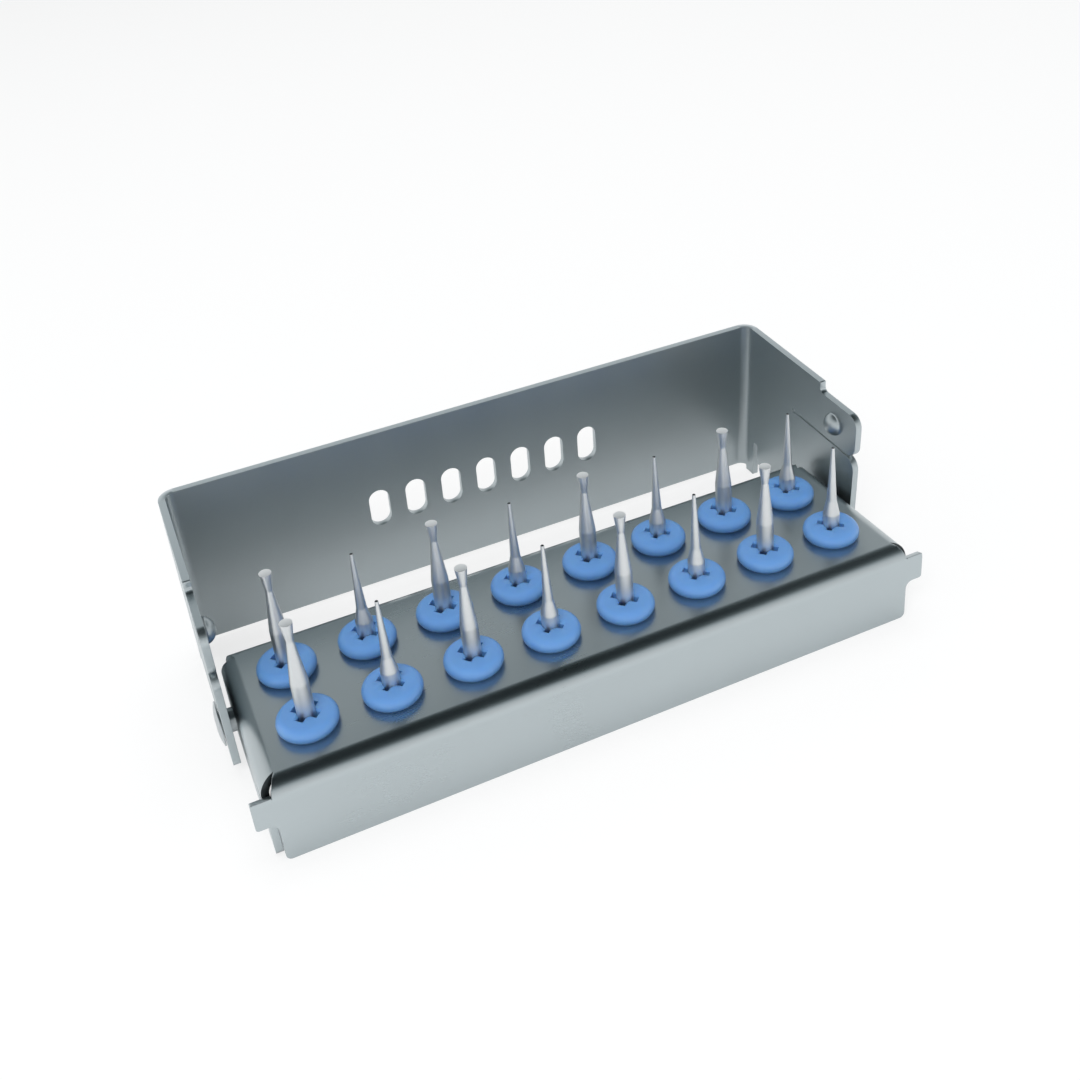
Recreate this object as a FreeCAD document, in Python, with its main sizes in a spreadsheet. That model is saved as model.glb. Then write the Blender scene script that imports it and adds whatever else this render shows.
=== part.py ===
import FreeCAD, Part
import math
import os
import re
import Sketcher

# Bur block: a folded steel base that holds sixteen burs in silicone grommets, under a folded lid.
# Millimetres. X runs along the block, Y to the back, Z up. The origin is on the floor, under the
# middle of the whole block with its lid open. The lid's own frame has its origin on the hinge axis,
# with Z along the back panel and Y through it.

document = FreeCAD.newDocument("BurBlock")

sizes = [
    ("sheet_gauge", 1.0, "steel sheet of the base"),
    ("lid_gauge", 1.0, "steel sheet of the lid"),
    ("bend_radius", 1.4, "inner radius of every fold"),
    ("base_length", 92.8, "over the end walls"),
    ("base_depth", 27.9, "over the front and back walls"),
    ("base_height", 11.8, "floor to the top of the plate"),
    ("end_margin", 7.9, "end of the base to the middle of the nearest bur holes"),
    ("row_pitch", 11.0, "between the two rows"),
    ("hole_columns", 8, "burs in a row"),
    ("hole_diameter", 6.0, "hole in the plate for a grommet"),
    ("corner_gap", 0.25, "between the edges of two walls that meet at a corner"),
    ("corner_mouth", 0.8, "how far that gap opens between the two folds"),
    ("ear_reach", 1.6, "ear past the end wall"),
    ("ear_top", 10.2, "floor to the top of an ear"),
    ("ear_height", 4.1, "height of an ear"),
    ("ear_fillet", 1.1, "hollow corner under an ear"),
    ("ear_corner", 0.4, "rounded lower corner of an ear"),
    ("wall_corner", 0.8, "rounded lower corners of the walls"),
    ("hinge_back", 6.7, "hinge axis behind the middle of the base"),
    ("hinge_height", 6.0, "hinge axis above the floor"),
    ("lid_lean", 3.5, "degrees that the open lid leans forward"),
    ("arm_gap", 0.8, "between an end wall and a lid arm"),
    ("closed_height", 31.6, "floor to the top of the closed lid"),
    ("floor_gap", 1.2, "under the arms of the closed lid"),
    ("panel_drop", 6.4, "back panel past the hinge axis"),
    ("arm_drop", 4.3, "arm past the hinge axis"),
    ("foot_setback", 0.6, "foot's back edge in front of the panel's inner face"),
    ("foot_width", 2.3, "width of a foot"),
    ("foot_slot_width", 1.1, "slot in front of a foot"),
    ("foot_slot_height", 6.7, "height of that slot"),
    ("step_gap", 0.15, "between an ear and the closed lid"),
    ("tongue_setback", 0.6, "closed tongue behind the ear"),
    ("tongue_slit_drop", 8.75, "lid edge to the slit under the tongue"),
    ("tongue_slit_width", 0.35, "width of that slit"),
    ("tongue_slit_length", 15.6, "length of that slit from the arm's front edge"),
    ("slit_end_diameter", 0.8, "round end of that slit"),
    ("arm_corner", 1.9, "rounded corners of the arms"),
    ("step_corner", 0.8, "hollow corner of the step"),
    ("dimple_drop", 5.2, "lid edge to the middle of a dimple"),
    ("dimple_back", 0.5, "dimple behind the hinge axis"),
    ("dimple_diameter", 4.2, "across a dimple"),
    ("dimple_clearance", 0.15, "between a dimple and the end wall"),
    ("catch_diameter", 3.0, "hole in the end wall that a dimple snaps over"),
    ("vent_count", 7, "slots in the back panel"),
    ("vent_pitch", 5.8, "between those slots"),
    ("vent_width", 3.2, "width of one of them"),
    ("vent_height", 6.4, "height of one of them"),
    ("vent_rise", 7.4, "hinge axis to their middle"),
    ("rivet_diameter", 3.2, "shoulder that a lid arm turns on"),
    ("rivet_play", 0.05, "between that shoulder and the arm"),
    ("rivet_tenon", 2.4, "end of a rivet through the end wall"),
    ("tenon_play", 0.01, "between that end and its hole"),
    ("rivet_head_diameter", 6.0, "outer head of a rivet"),
    ("rivet_head_height", 0.6, "height of that head"),
    ("rivet_head_rim", 0.15, "height of its straight edge"),
    ("rivet_head_turn", 4.0, "where its dome turns flatter"),
    ("rivet_head_crown", 2.0, "flat middle of that dome"),
    ("rivet_tail_diameter", 3.8, "inner head of a rivet"),
    ("rivet_tail_crown", 2.6, "flat top of that head"),
    ("rivet_tail_height", 0.6, "height of that head"),
    ("head_gap", 0.1, "between the outer head and the arm"),
    ("flange_diameter", 7.9, "grommet on top of the plate"),
    ("flange_height", 1.85, "plate to the outer ring of the flange's top"),
    ("flange_foot", 7.3, "flange where it meets the plate"),
    ("flange_belly", 0.75, "plate to the widest line of the flange"),
    ("flange_shoulder", 7.2, "where the flange's side turns to its top"),
    ("shoulder_rise", 1.5, "plate to that turn"),
    ("flange_crown", 5.6, "that outer ring"),
    ("mouth_rise", 0.15, "from that ring up to the mouth of the bore"),
    ("grommet_play", 0.02, "between a grommet and its hole"),
    ("barb_diameter", 7.0, "grommet under the plate"),
    ("barb_foot", 4.4, "lower end of that barb"),
    ("barb_height", 1.5, "height of that barb"),
    ("notch_width", 0.85, "slots across the grommet's mouth"),
    ("notch_span", 3.7, "over two opposite slots"),
    ("notch_depth", 1.75, "mouth to the floor of those slots"),
    ("shank_diameter", 2.35, "latch shank of a bur"),
    ("bur_play", 0.01, "between a bur and its grommet"),
    ("bur_seat", 5.0, "floor to the foot of a bur"),
    ("first_rise", 0.5, "first burs stand this much higher"),
    ("flared_length", 22.0, "bur with a flared head"),
    ("flared_head", 1.65, "its flat top"),
    ("flared_neck", 0.95, "its neck"),
    ("flared_head_length", 2.7, "top to neck"),
    ("flared_cone_length", 6.3, "neck to the full shank"),
    ("needle_length", 21.3, "bur with a slender cone"),
    ("needle_tip", 0.45, "its flat tip"),
    ("needle_waist", 1.4, "foot of the slender cone"),
    ("needle_cone_length", 8.6, "tip to that waist"),
    ("needle_flare_length", 2.25, "waist to the full shank"),
    ("latch_neck", 1.6, "groove at the foot of a shank"),
    ("latch_rise", 1.1, "foot of a shank to the groove"),
    ("latch_width", 0.8, "width of the groove"),
    ("latch_flat", 0.8, "shank axis to the driven flat"),
    ("latch_flat_length", 4.6, "length of that flat"),
]

# Values worked out from the sizes, each one a formula.
workedOut = [
    ("half_length", "base_length / 2"),
    ("hole_pitch", "(base_length - 2 * end_margin) / (hole_columns - 1)"),
    ("half_depth", "base_depth / 2"),
    ("flange_half", "half_length - sheet_gauge"),
    ("fold_radius", "bend_radius + sheet_gauge"),
    ("lid_fold_radius", "bend_radius + lid_gauge"),
    ("ear_half", "half_length + ear_reach"),
    ("arm_inner", "half_length + arm_gap"),
    ("arm_outer", "arm_inner + lid_gauge"),
    ("lid_top", "half_depth + hinge_back"),
    ("panel_outer", "closed_height - hinge_height"),
    ("panel_inner", "panel_outer - lid_gauge"),
    ("step_back", "ear_top + step_gap - hinge_height"),
    ("tongue_top", "lid_top - sheet_gauge - tongue_setback"),
    ("arm_front", "floor_gap - hinge_height"),
    ("foot_back", "panel_inner - foot_setback"),
    ("foot_front", "foot_back - foot_width"),
    ("foot_bottom", "-(hinge_height + foot_front * sin(lid_lean * 1 deg)) / cos(lid_lean * 1 deg)"),
    ("slot_front", "foot_front - foot_slot_width"),
    ("slot_top", "foot_bottom + foot_slot_height"),
    ("slit_rise", "lid_top - tongue_slit_drop"),
    ("slit_end", "arm_front + tongue_slit_length"),
    ("dimple_rise", "lid_top - dimple_drop"),
    ("dimple_height", "arm_gap - dimple_clearance"),
    ("catch_front", "hinge_back - dimple_rise"),
    ("catch_height", "hinge_height + dimple_back"),
    ("back_reach", "hinge_back + panel_drop * sin(lid_lean * 1 deg) + panel_outer * cos(lid_lean * 1 deg)"),
    ("frame_shift", "(half_depth - back_reach) / 2"),
    ("hinge_shift", "hinge_back + frame_shift"),
    ("shank_radius", "shank_diameter / 2"),
    ("bore_radius", "shank_radius + bur_play"),
    ("neck_radius", "hole_diameter / 2 - grommet_play"),
    ("tenon_radius", "rivet_tenon / 2 - tenon_play"),
    ("head_base", "arm_outer + head_gap"),
]


def fillSheet(name, rows):
    sheet = document.addObject("Spreadsheet::Sheet", name)
    for number, (alias, content, *note) in enumerate(rows, start=1):
        sheet.set(f"A{number}", alias)
        sheet.set(f"B{number}", str(content))
        sheet.setAlias(f"B{number}", alias)
        if note:
            sheet.set(f"C{number}", note[0])
    return sheet


sheetOf = {row[0]: "Sizes" for row in sizes}
sheetOf.update({row[0]: "Worked" for row in workedOut})


def formula(words):
    """Puts the sheet's name before each size that the words use."""
    return re.sub(r"[a-z]+(?:_[a-z]+)+", lambda found: f"{sheetOf[found[0]]}.{found[0]}", words)


fillSheet("Sizes", sizes)
fillSheet("Worked", [(alias, "=" + formula(words)) for alias, words in workedOut])
document.recompute()


def number(words):
    result = document.getObject("Sizes").evalExpression(formula(words).replace("Sizes.", ""))
    return float(getattr(result, "Value", result))


def bind(thing, **properties):
    for name, words in properties.items():
        thing.setExpression(name.replace("_", "."), formula(words))


def place(thing, x="0", y="0", z="0", about="0; 0; 1", angle="0"):
    """Sets a sub-part in the block's frame, turned about an axis by an angle in degrees."""
    spot = formula(f"vector({x}; {y}; {z})")
    turn = formula(f"rotation(vector({about}); {angle})")
    thing.setExpression("Placement", f"placement({spot}; {turn})")


def newBody(label):
    body = document.addObject("PartDesign::Body", label)
    body.Label = label
    return body


def newSketch(body, name, plane, lift=None):
    """A sketch on one of the body's own planes, lifted along the plane's normal by a formula."""
    sketch = body.newObject("Sketcher::SketchObject", name)
    support = next(item for item in body.Origin.OriginFeatures if item.Role == plane)
    sketch.AttachmentSupport = [(support, "")]
    sketch.MapMode = "FlatFace"
    if lift:
        sketch.setExpression("AttachmentOffset.Base.z", formula(lift))
    return sketch


def fixPoint(sketch, geometry, point, x, y):
    for kind, words in (("DistanceX", x), ("DistanceY", y)):
        index = sketch.addConstraint(Sketcher.Constraint(kind, geometry, point, number(words)))
        sketch.setExpression(f"Constraints[{index}]", formula(words))


def addPolygon(sketch, corners):
    """A closed outline through corners given as pairs of formulas."""
    spots = [FreeCAD.Vector(number(x), number(y), 0) for x, y in corners]
    lines = []
    for start, end in zip(spots, spots[1:] + spots[:1]):
        lines.append(sketch.addGeometry(Part.LineSegment(start, end), False))
    for line, following in zip(lines, lines[1:] + lines[:1]):
        sketch.addConstraint(Sketcher.Constraint("Coincident", line, 2, following, 1))
    for line, (x, y) in zip(lines, corners):
        fixPoint(sketch, line, 1, x, y)


def addRectangle(sketch, left, right, bottom, top):
    addPolygon(sketch, [(left, bottom), (right, bottom), (right, top), (left, top)])


def addCircle(sketch, x, y, diameter):
    centre = FreeCAD.Vector(number(x), number(y), 0)
    ring = Part.Circle(centre, FreeCAD.Vector(0, 0, 1), number(diameter) / 2)
    circle = sketch.addGeometry(ring, False)
    fixPoint(sketch, circle, 3, x, y)
    index = sketch.addConstraint(Sketcher.Constraint("Diameter", circle, number(diameter)))
    sketch.setExpression(f"Constraints[{index}]", formula(diameter))


def addSlot(sketch, x, y, width, height):
    """An upright slot with round ends: two straight sides and two half circles."""
    radius = number(width) / 2
    rise = (number(height) - number(width)) / 2
    top = FreeCAD.Vector(number(x), number(y) + rise, 0)
    bottom = FreeCAD.Vector(number(x), number(y) - rise, 0)
    side = FreeCAD.Vector(radius, 0, 0)
    normal = FreeCAD.Vector(0, 0, 1)
    head = Part.ArcOfCircle(Part.Circle(top, normal, radius), 0, math.pi)
    foot = Part.ArcOfCircle(Part.Circle(bottom, normal, radius), math.pi, 2 * math.pi)
    upper = sketch.addGeometry(head, False)
    left = sketch.addGeometry(Part.LineSegment(top - side, bottom - side), False)
    lower = sketch.addGeometry(foot, False)
    right = sketch.addGeometry(Part.LineSegment(bottom + side, top + side), False)
    for first, firstEnd, second, secondEnd in (
        (upper, 2, left, 1), (left, 2, lower, 1), (lower, 2, right, 1), (right, 2, upper, 1)
    ):
        sketch.addConstraint(Sketcher.Constraint("Tangent", first, firstEnd, second, secondEnd))
    fixPoint(sketch, upper, 3, x, f"{y} + ({height} - {width}) / 2")
    fixPoint(sketch, lower, 3, x, f"{y} - ({height} - {width}) / 2")
    index = sketch.addConstraint(Sketcher.Constraint("Radius", upper, radius))
    sketch.setExpression(f"Constraints[{index}]", formula(f"{width} / 2"))


def pad(body, name, sketch, length, reverse=False):
    feature = body.newObject("PartDesign::Pad", name)
    feature.Profile = sketch
    feature.Reversed = reverse
    bind(feature, Length=length)
    document.recompute()
    return feature


def pocket(body, name, sketch, length, midplane=False, reverse=False):
    """Cuts a sketch out of the body and stops if it cut nothing."""
    before = body.Shape.Volume
    feature = body.newObject("PartDesign::Pocket", name)
    feature.Profile = sketch
    feature.Midplane = midplane
    feature.Reversed = reverse
    bind(feature, Length=length)
    document.recompute()
    if body.Shape.Volume > before - 1e-6:
        raise RuntimeError(f"{name} removes nothing")
    return feature


def revolve(body, name, sketch, axis="H_Axis", groove=False):
    feature = body.newObject("PartDesign::Groove" if groove else "PartDesign::Revolution", name)
    feature.Profile = sketch
    feature.ReferenceAxis = (sketch, [axis])
    feature.Angle = 360
    document.recompute()
    return feature


def roundEdges(body, name, radius, wanted):
    """Rounds the edges of the body's last feature that the test picks."""
    base = body.Tip
    names = [f"Edge{i}" for i, edge in enumerate(base.Shape.Edges, start=1) if wanted(edge)]
    if not names:
        raise RuntimeError(f"{name} finds no edge")
    feature = body.newObject("PartDesign::Fillet", name)
    feature.Base = (base, names)
    bind(feature, Radius=radius)
    document.recompute()
    return feature


def near(value, words):
    return abs(value - number(words)) < 1e-4


def runsAlong(edge, axis):
    """True for a straight edge along X, Y or Z."""
    box = edge.BoundBox
    spans = {"x": box.XLength, "y": box.YLength, "z": box.ZLength}
    length = spans.pop(axis)
    return length > 1e-3 and max(spans.values()) < 1e-4


def middle(edge):
    return edge.BoundBox.Center


def makeBase():
    """The folded pan: plate with two rows of holes, four walls and an ear at each end of the front wall."""
    body = newBody("base")
    outline = newSketch(body, "PlateOutline", "XY_Plane")
    addRectangle(outline, "-half_length", "half_length", "-half_depth", "half_depth")
    pad(body, "Block", outline, "base_height")
    roundEdges(
        body, "OuterFolds", "fold_radius",
        lambda edge: near(edge.BoundBox.ZMin, "base_height"),
    )
    hollow = newSketch(body, "HollowOutline", "XY_Plane")
    inside = ("-flange_half", "flange_half", "sheet_gauge - half_depth", "half_depth - sheet_gauge")
    addRectangle(hollow, *inside)
    pocket(body, "Hollow", hollow, "base_height - sheet_gauge", reverse=True)
    roundEdges(
        body, "InnerFolds", "bend_radius",
        lambda edge: near(edge.BoundBox.ZMin, "base_height - sheet_gauge")
        and near(edge.BoundBox.ZMax, "base_height - sheet_gauge"),
    )
    cutCorners(body)
    addEars(body)
    holes = newSketch(body, "GrommetHoles", "XY_Plane")
    for column in range(int(number("hole_columns"))):
        for row in (0, 1):
            addCircle(holes, columnPlace(column), rowPlace(row), "hole_diameter")
    pocket(body, "GrommetSeats", holes, "base_height", reverse=True)
    walls = newSketch(body, "EndWallHoles", "YZ_Plane")
    addCircle(walls, "hinge_back", "hinge_height", "rivet_tenon")
    addCircle(walls, "catch_front", "catch_height", "catch_diameter")
    pocket(body, "HingeAndCatchHoles", walls, "base_length", midplane=True)
    place(body, y="frame_shift")
    return body


def addAtCorners(sketch, corners):
    """Draws an outline at the back right corner of the plate, and its mirror images at the others."""
    for across in ("", "-"):
        for along in ("", "-"):
            addPolygon(sketch, [(f"{across}({x})", f"{along}({y})") for x, y in corners])


def cutCorners(body):
    """Parts the walls at each corner: a wedge that opens between the folds, and a narrow gap below."""
    tip = ("half_length - fold_radius", "half_depth - fold_radius")
    outside = ("half_length + sheet_gauge", "half_depth + sheet_gauge")
    gaps = newSketch(body, "CornerGaps", "XY_Plane")
    addAtCorners(gaps, [
        tip, ("flange_half", "half_depth - sheet_gauge"), ("flange_half", outside[1]), outside,
        (outside[0], "half_depth - sheet_gauge - corner_gap"),
        ("flange_half", "half_depth - sheet_gauge - corner_gap"),
    ])
    pocket(body, "CornerCuts", gaps, "base_height", reverse=True)
    mouths = newSketch(body, "CornerMouths", "XY_Plane", lift="base_height")
    addAtCorners(mouths, [
        tip, ("flange_half", "half_depth"), ("flange_half", outside[1]), outside,
        (outside[0], "half_depth - sheet_gauge - corner_mouth"),
        ("half_length", "half_depth - sheet_gauge - corner_mouth"),
    ])
    pocket(body, "MouthCuts", mouths, "fold_radius")
    roundEdges(
        body, "WallCorners", "wall_corner",
        lambda edge: near(edge.BoundBox.ZMax, "0")
        and (runsAlong(edge, "y") and near(abs(middle(edge).x), "flange_half")
             or runsAlong(edge, "x") and near(abs(middle(edge).y), "half_depth - sheet_gauge - corner_gap")),
    )


def addEars(body):
    """Widens the front wall past both end walls, with a hollow corner under each ear."""
    ears = newSketch(body, "EarOutline", "XZ_Plane", lift="half_depth")
    for across in ("", "-"):
        points = [
            ("flange_half - sheet_gauge", "ear_top - ear_height"),
            ("ear_half", "ear_top - ear_height"),
            ("ear_half", "ear_top"),
            ("flange_half - sheet_gauge", "ear_top"),
        ]
        addPolygon(ears, [(f"{across}({x})", z) for x, z in points])
    pad(body, "Ears", ears, "sheet_gauge", reverse=True)
    roundEdges(
        body, "EarHollows", "ear_fillet",
        lambda edge: runsAlong(edge, "y")
        and near(abs(middle(edge).x), "flange_half")
        and near(middle(edge).z, "ear_top - ear_height"),
    )
    roundEdges(
        body, "EarCorners", "ear_corner",
        lambda edge: runsAlong(edge, "y")
        and near(abs(middle(edge).x), "ear_half")
        and near(middle(edge).z, "ear_top - ear_height"),
    )


def columnPlace(column):
    return f"({column} - (hole_columns - 1) / 2) * hole_pitch"


def rowPlace(row):
    return f"({row} - 0.5) * row_pitch"


def makeLid():
    """The folded cover: a back panel with a row of slots and two arms that turn on the rivets."""
    body = newBody("lid")
    channel = newSketch(body, "ChannelOutline", "XY_Plane", lift="foot_bottom")
    front = "arm_front"
    addPolygon(channel, [
        ("-arm_outer", front), ("-arm_inner", front), ("-arm_inner", "panel_inner"),
        ("arm_inner", "panel_inner"), ("arm_inner", front), ("arm_outer", front),
        ("arm_outer", "panel_outer"), ("-arm_outer", "panel_outer"),
    ])
    pad(body, "Channel", channel, "lid_top - foot_bottom")
    roundEdges(
        body, "InnerBends", "bend_radius",
        lambda edge: runsAlong(edge, "z") and near(middle(edge).y, "panel_inner"),
    )
    roundEdges(
        body, "OuterBends", "lid_fold_radius",
        lambda edge: runsAlong(edge, "z") and near(middle(edge).y, "panel_outer"),
    )
    cutArms(body)
    cutPanel(body)
    addDimples(body)
    place(body, y="hinge_shift", z="hinge_height", about="1; 0; 0", angle="lid_lean")
    return body


def cutArms(body):
    """The side view of both arms: step over the ear, sprung tongue, slot and foot, hinge holes."""
    beyond = "lid_top + lid_gauge"
    below = "foot_bottom - lid_gauge"
    edge = newSketch(body, "ArmEdge", "YZ_Plane")
    addPolygon(edge, [
        ("arm_front - lid_gauge", "tongue_top"), ("step_back", "tongue_top"),
        ("step_back", beyond), ("arm_front - lid_gauge", beyond),
    ])
    addPolygon(edge, [
        ("arm_front - lid_gauge", below), ("foot_front", below), ("foot_front", "slot_top"),
        ("slot_front", "slot_top"), ("slot_front", "-arm_drop"), ("arm_front - lid_gauge", "-arm_drop"),
    ])
    pocket(body, "ArmOutline", edge, "2 * arm_outer + lid_gauge", midplane=True)
    slit = newSketch(body, "TongueSlit", "YZ_Plane")
    addRectangle(
        slit, "arm_front - lid_gauge", "slit_end",
        "slit_rise - tongue_slit_width / 2", "slit_rise + tongue_slit_width / 2",
    )
    pocket(body, "TongueCut", slit, "2 * arm_outer + lid_gauge", midplane=True)
    roundEdges(
        body, "ArmCorners", "arm_corner",
        lambda item: runsAlong(item, "x") and near(middle(item).y, "arm_front"),
    )
    roundEdges(
        body, "StepCorners", "step_corner",
        lambda item: runsAlong(item, "x") and near(middle(item).y, "step_back")
        and near(middle(item).z, "tongue_top"),
    )
    holes = newSketch(body, "ArmHoles", "YZ_Plane")
    addCircle(holes, "0", "0", "rivet_diameter + 2 * rivet_play")
    addCircle(holes, "slit_end", "slit_rise", "slit_end_diameter")
    pocket(body, "HingeHoles", holes, "2 * arm_outer + lid_gauge", midplane=True)


def cutPanel(body):
    """Raises the lower edge of the back panel above the feet, and cuts the row of slots."""
    lower = newSketch(body, "PanelEdge", "XZ_Plane", lift="-foot_back")
    beyond = "arm_outer + lid_gauge"
    addRectangle(lower, f"-({beyond})", beyond, "foot_bottom - lid_gauge", "-panel_drop")
    pocket(body, "PanelCut", lower, "lid_fold_radius + lid_gauge")
    slots = newSketch(body, "VentOutline", "XZ_Plane", lift="lid_gauge - panel_inner")
    for vent in range(int(number("vent_count"))):
        across = f"({vent} - (vent_count - 1) / 2) * vent_pitch"
        addSlot(slots, across, "vent_rise", "vent_width", "vent_height")
    pocket(body, "Vents", slots, "3 * lid_gauge")


def addDimples(body):
    """A round dimple pressed inwards in each tongue: a dome inside and its hollow outside."""
    dome = newSketch(body, "DimpleDome", "XY_Plane", lift="dimple_rise")
    addDome(dome, "arm_inner", "arm_inner - dimple_height")
    bulge = revolve(body, "Dimple", dome)
    hollow = newSketch(body, "DimpleHollow", "XY_Plane", lift="dimple_rise")
    addDome(hollow, "arm_outer", "arm_outer - dimple_height")
    recess = revolve(body, "DimpleRecess", hollow, groove=True)
    mirrored = body.newObject("PartDesign::Mirrored", "OtherDimple")
    mirrored.Originals = [bulge, recess]
    plane = next(item for item in body.Origin.OriginFeatures if item.Role == "YZ_Plane")
    mirrored.MirrorPlane = (plane, [""])
    body.Tip = mirrored
    document.recompute()


def addDome(sketch, base, top):
    """Half the outline of a dome that bulges to the left, centred on the sketch's X axis."""
    foot, peak, radius = number(base), number(top), number("dimple_diameter") / 2
    ball = (radius ** 2 + (foot - peak) ** 2) / (2 * (foot - peak))
    circle = Part.Circle(FreeCAD.Vector(peak + ball, 0, 0), FreeCAD.Vector(0, 0, 1), ball)
    rim = math.pi - math.asin(radius / ball)
    curve = sketch.addGeometry(Part.ArcOfCircle(circle, rim, math.pi), False)
    corners = [FreeCAD.Vector(peak, 0, 0), FreeCAD.Vector(foot, 0, 0), FreeCAD.Vector(foot, radius, 0)]
    floor = sketch.addGeometry(Part.LineSegment(corners[0], corners[1]), False)
    side = sketch.addGeometry(Part.LineSegment(corners[1], corners[2]), False)
    for first, second in ((curve, floor), (floor, side), (side, curve)):
        sketch.addConstraint(Sketcher.Constraint("Coincident", first, 2, second, 1))
    sketch.addConstraint(Sketcher.Constraint("PointOnObject", curve, 3, -1))
    fixPoint(sketch, floor, 1, top, "0")
    fixPoint(sketch, side, 1, base, "0")
    fixPoint(sketch, side, 2, base, "dimple_diameter / 2")


def turned(label, profile, axis="V_Axis"):
    """A round part turned from an outline of (radius, height) pairs, about Z or about X."""
    body = newBody(label)
    sketch = newSketch(body, f"{label}_profile", "XZ_Plane" if axis == "V_Axis" else "XY_Plane")
    addPolygon(sketch, profile)
    revolve(body, f"{label}_turned", sketch, axis)
    return body


def makeRivet(label, turn):
    """A shoulder rivet: the arm turns on the shoulder, and the end wall is held before its tail."""
    tail = "flange_half - rivet_tail_height"
    head = "head_base + rivet_head_height"
    body = turned(label, [
        (tail, "0"), (tail, "rivet_tail_crown / 2"),
        ("flange_half - rivet_tail_height / 2", "rivet_tail_diameter / 2"),
        ("flange_half", "rivet_tail_diameter / 2"),
        ("flange_half", "tenon_radius"), ("half_length", "tenon_radius"),
        ("half_length", "rivet_diameter / 2"), ("head_base", "rivet_diameter / 2"),
        ("head_base", "rivet_head_diameter / 2"), ("head_base + rivet_head_rim", "rivet_head_diameter / 2"),
        (f"{head} - rivet_head_rim", "rivet_head_turn / 2"), (head, "rivet_head_crown / 2"), (head, "0"),
    ], "H_Axis")
    place(body, y="hinge_shift", z="hinge_height", angle=turn)
    return body


def makeGrommet(label, column, row):
    """A silicone ring snapped into its hole: flange above the plate, barb below, slotted mouth."""
    body = turned(label, [
        ("bore_radius", "-sheet_gauge - barb_height"), ("barb_foot / 2", "-sheet_gauge - barb_height"),
        ("barb_diameter / 2", "-sheet_gauge"), ("neck_radius", "-sheet_gauge"), ("neck_radius", "0"),
        ("flange_foot / 2", "0"), ("flange_diameter / 2", "flange_belly"),
        ("flange_shoulder / 2", "shoulder_rise"), ("flange_crown / 2", "flange_height"),
        ("bore_radius", "flange_height + mouth_rise"),
    ])
    cross = newSketch(body, f"{label}_cross", "XY_Plane", lift="flange_height + mouth_rise")
    half, reach = "notch_width / 2", "notch_span / 2"
    addPolygon(cross, [
        (f"-{half}", f"-{reach}"), (half, f"-{reach}"), (half, f"-{half}"), (reach, f"-{half}"),
        (reach, half), (half, half), (half, reach), (f"-{half}", reach), (f"-{half}", half),
        (f"-{reach}", half), (f"-{reach}", f"-{half}"), (f"-{half}", f"-{half}"),
    ])
    pocket(body, f"{label}_mouth", cross, "notch_depth")
    place(body, columnPlace(column), f"{rowPlace(row)} + frame_shift", "base_height", angle="45")
    return body


def makeBur(label, column, row):
    """A bur with a latch shank: flared heads in the odd places, slender cones in the even ones."""
    flared = column % 2 == 0
    kind = "flared" if flared else "needle"
    if flared:
        top = [
            ("flared_neck / 2", "flared_length - flared_head_length"),
            ("flared_head / 2", "flared_length"),
        ]
        full = "flared_length - flared_head_length - flared_cone_length"
    else:
        top = [
            ("needle_waist / 2", "needle_length - needle_cone_length"),
            ("needle_tip / 2", "needle_length"),
        ]
        full = "needle_length - needle_cone_length - needle_flare_length"
    body = turned(label, [
        ("0", "0"), ("shank_radius", "0"), ("shank_radius", "latch_rise"), ("latch_neck / 2", "latch_rise"),
        ("latch_neck / 2", "latch_rise + latch_width"), ("shank_radius", "latch_rise + latch_width"),
        ("shank_radius", full), *top, ("0", f"{kind}_length"),
    ])
    flat = newSketch(body, f"{label}_flat_outline", "XY_Plane")
    addRectangle(flat, "latch_flat", "shank_diameter", "-shank_diameter", "shank_diameter")
    pocket(body, f"{label}_flat", flat, "latch_flat_length", reverse=True)
    seat = "bur_seat + first_rise" if column == 0 else "bur_seat"
    place(body, columnPlace(column), f"{rowPlace(row)} + frame_shift", seat)
    return body


parts = [makeBase(), makeLid(), makeRivet("right_rivet", "0"), makeRivet("left_rivet", "180")]
for row, word in enumerate(("front", "back")):
    for column in range(int(number("hole_columns"))):
        parts.append(makeGrommet(f"{word}_grommet_{column + 1}", column, row))
        parts.append(makeBur(f"{word}_bur_{column + 1}", column, row))
document.recompute()

faults = [item.Name for item in document.Objects if {"Invalid", "Error"} & set(item.State)]
faults += [body.Label for body in parts if body.Shape.isNull() or not body.Shape.isValid()]
faults += [body.Label for body in parts if len(body.Shape.Solids) != 1]
if faults:
    raise RuntimeError(f"faulty: {faults}")
os.makedirs("parts", exist_ok=True)
for body in parts:
    body.Shape.exportStep(f"parts/{body.Label}.step")
    print(body.Label, round(body.Shape.Volume, 2))
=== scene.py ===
import math

import bmesh
import bpy
from mathutils import Euler, Matrix, Vector


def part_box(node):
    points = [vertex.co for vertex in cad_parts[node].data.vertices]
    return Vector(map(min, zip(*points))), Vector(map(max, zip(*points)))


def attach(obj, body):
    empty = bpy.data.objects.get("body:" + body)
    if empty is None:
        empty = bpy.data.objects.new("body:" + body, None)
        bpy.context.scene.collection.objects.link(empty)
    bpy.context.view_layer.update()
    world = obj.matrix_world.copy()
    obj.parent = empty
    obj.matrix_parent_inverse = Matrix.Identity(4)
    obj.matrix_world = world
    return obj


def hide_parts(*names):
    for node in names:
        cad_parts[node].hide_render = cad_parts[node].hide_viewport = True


# Bur block with its lid open: folded satin steel, blue silicone grommets, satin bright burs.
# Pieces are drawn in millimetres and brought to metres when they are placed.

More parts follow.
